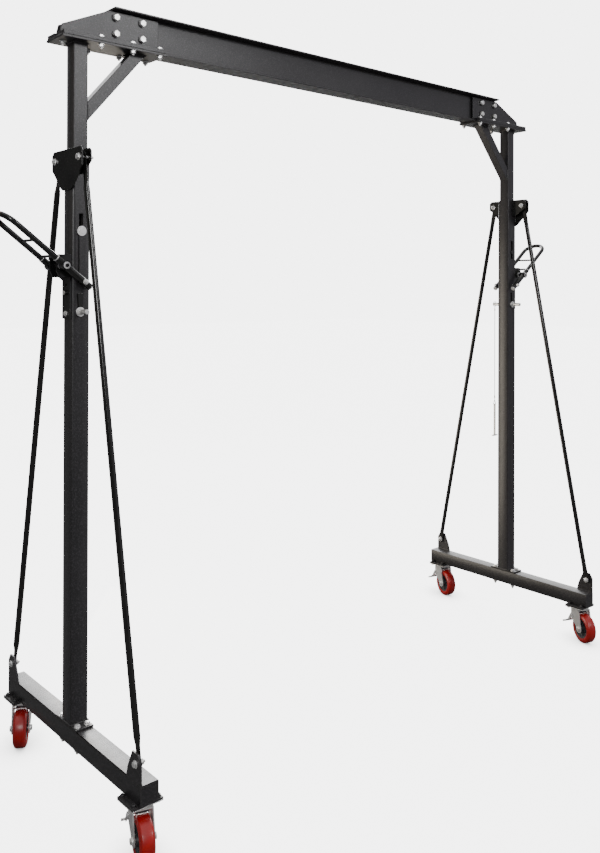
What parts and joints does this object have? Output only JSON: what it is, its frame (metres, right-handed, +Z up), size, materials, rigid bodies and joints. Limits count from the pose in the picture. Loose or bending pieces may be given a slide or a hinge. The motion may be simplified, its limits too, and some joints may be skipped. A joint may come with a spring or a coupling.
{
  "type": "portable gantry crane",
  "caption": "Free-standing wheeled gantry crane: an I-beam on height-adjustable telescoping legs, each with a lever jack, braced base bar and braked swivel casters.",
  "frame": {"origin": "centre of the outline on the floor, under the middle of the beam", "axes": "+X along the beam, +Y along the base bars towards the side where the lanyard hangs, +Z up"},
  "size_m": [2.8352, 0.981, 2.51],
  "materials": {
    "black_coat": "matt hammered powder coat",
    "zinc": "bright zinc plate",
    "red_tread": "satin polyurethane",
    "hub": "satin",
    "wire": "twisted steel wire"
  },
  "bodies": {
    "left_leg": {"left_outer_post": "black_coat", "left_base_bar": "black_coat", "left_fan_plate": "black_coat", "left_ear_a": "black_coat", "left_ear_b": "black_coat", "left_stay_a": "black_coat", "left_stay_b": "black_coat", "left_lever_bracket": "black_coat", "left_pawl_plate_a": "black_coat", "left_pawl_plate_b": "black_coat", "left_load_pin": "zinc", "left_near_plate": "zinc", "left_far_plate": "zinc"},
    "upper_frame": {"beam": "black_coat", "left_inner_post": "black_coat", "left_head_plate": "black_coat", "left_knee_brace": "black_coat", "left_gusset_a": "black_coat", "left_gusset_b": "black_coat", "right_inner_post": "black_coat", "right_head_plate": "black_coat", "right_knee_brace": "black_coat", "right_gusset_a": "black_coat", "right_gusset_b": "black_coat"},
    "right_leg": {"right_outer_post": "black_coat", "right_base_bar": "black_coat", "right_fan_plate": "black_coat", "right_ear_a": "black_coat", "right_ear_b": "black_coat", "right_stay_a": "black_coat", "right_stay_b": "black_coat", "right_lever_bracket": "black_coat", "right_pawl_plate_a": "black_coat", "right_pawl_plate_b": "black_coat", "right_load_pin": "zinc", "right_near_plate": "zinc", "right_far_plate": "zinc", "lanyard": "wire", "lock_pin": "zinc"},
    "left_lever": {"left_lever": "black_coat"},
    "left_jack_link": {"left_jack_link": "zinc"},
    "left_near_fork": {"left_near_fork": "zinc"},
    "left_near_wheel": {"left_near_tyre": "red_tread", "left_near_hub": "hub"},
    "left_near_brake": {"left_near_brake": "black_coat"},
    "left_far_fork": {"left_far_fork": "zinc"},
    "left_far_wheel": {"left_far_tyre": "red_tread", "left_far_hub": "hub"},
    "left_far_brake": {"left_far_brake": "black_coat"},
    "right_lever": {"right_lever": "black_coat"},
    "right_jack_link": {"right_jack_link": "zinc"},
    "right_near_fork": {"right_near_fork": "zinc"},
    "right_near_wheel": {"right_near_tyre": "red_tread", "right_near_hub": "hub"},
    "right_near_brake": {"right_near_brake": "black_coat"},
    "right_far_fork": {"right_far_fork": "zinc"},
    "right_far_wheel": {"right_far_tyre": "red_tread", "right_far_hub": "hub"},
    "right_far_brake": {"right_far_brake": "black_coat"}
  },
  "joints": [
    {"name": "beam_lift", "type": "slide", "parent": "left_leg", "child": "upper_frame", "axis": [0, 0, 1], "range_m": [0, 1.2]},
    {"name": "right_leg_slide", "type": "slide", "parent": "upper_frame", "child": "right_leg", "axis": [0, 0, 1], "range_m": [-1.2, 0]},
    {"name": "left_lever_swing", "type": "hinge", "parent": "left_leg", "child": "left_lever", "pos_m": [-1.215, 0.00712, 1.667], "axis": [0, 1, 0], "range_deg": [-40, 20]},
    {"name": "left_jack_link_slide", "type": "slide", "parent": "left_leg", "child": "left_jack_link", "axis": [0, 0, 1], "range_m": [-0.024, 0.0475]},
    {"name": "left_near_swivel", "type": "hinge", "parent": "left_leg", "child": "left_near_fork", "pos_m": [-1.15, -0.39288, 0.15], "axis": [0, 0, 1], "continuous": true},
    {"name": "left_near_wheel_spin", "type": "hinge", "parent": "left_near_fork", "child": "left_near_wheel", "pos_m": [-1.16023, -0.42635, 0.0625], "axis": [0.9563, -0.2924, 0], "continuous": true},
    {"name": "left_near_brake_press", "type": "hinge", "parent": "left_near_fork", "child": "left_near_brake", "pos_m": [-1.14591, -0.37949, 0.11], "axis": [-0.9563, 0.2924, 0], "range_deg": [0, 12]},
    {"name": "left_far_swivel", "type": "hinge", "parent": "left_leg", "child": "left_far_fork", "pos_m": [-1.15, 0.40712, 0.15], "axis": [0, 0, 1], "continuous": true},
    {"name": "left_far_wheel_spin", "type": "hinge", "parent": "left_far_fork", "child": "left_far_wheel", "pos_m": [-1.1675, 0.37681, 0.0625], "axis": [0.866, -0.5, 0], "continuous": true},
    {"name": "left_far_brake_press", "type": "hinge", "parent": "left_far_fork", "child": "left_far_brake", "pos_m": [-1.143, 0.41924, 0.11], "axis": [-0.866, 0.5, 0], "range_deg": [0, 12]},
    {"name": "right_lever_swing", "type": "hinge", "parent": "right_leg", "child": "right_lever", "pos_m": [1.215, 0.00712, 1.667], "axis": [0, -1, 0], "range_deg": [-40, 20]},
    {"name": "right_jack_link_slide", "type": "slide", "parent": "right_leg", "child": "right_jack_link", "axis": [0, 0, 1], "range_m": [-0.024, 0.0475]},
    {"name": "right_near_swivel", "type": "hinge", "parent": "right_leg", "child": "right_near_fork", "pos_m": [1.15, -0.39288, 0.15], "axis": [0, 0, 1], "continuous": true},
    {"name": "right_near_wheel_spin", "type": "hinge", "parent": "right_near_fork", "child": "right_near_wheel", "pos_m": [1.13632, -0.4251, 0.0625], "axis": [0.9205, -0.3907, 0], "continuous": true},
    {"name": "right_near_brake_press", "type": "hinge", "parent": "right_near_fork", "child": "right_near_brake", "pos_m": [1.15547, -0.37999, 0.11], "axis": [-0.9205, 0.3907, 0], "range_deg": [0, 12]},
    {"name": "right_far_swivel", "type": "hinge", "parent": "right_leg", "child": "right_far_fork", "pos_m": [1.15, 0.40712, 0.15], "axis": [0, 0, 1], "continuous": true},
    {"name": "right_far_wheel_spin", "type": "hinge", "parent": "right_far_fork", "child": "right_far_wheel", "pos_m": [1.13977, 0.37365, 0.0625], "axis": [0.9563, -0.2924, 0], "continuous": true},
    {"name": "right_far_brake_press", "type": "hinge", "parent": "right_far_fork", "child": "right_far_brake", "pos_m": [1.15409, 0.42051, 0.11], "axis": [-0.9563, 0.2924, 0], "range_deg": [0, 12]}
  ],
  "couplings": [
    {"joint": "right_leg_slide", "follows": "beam_lift", "ratio": -1},
    {"joint": "left_jack_link_slide", "follows": "left_lever_swing", "m_per_rad": -0.065},
    {"joint": "right_jack_link_slide", "follows": "right_lever_swing", "m_per_rad": -0.065}
  ]
}
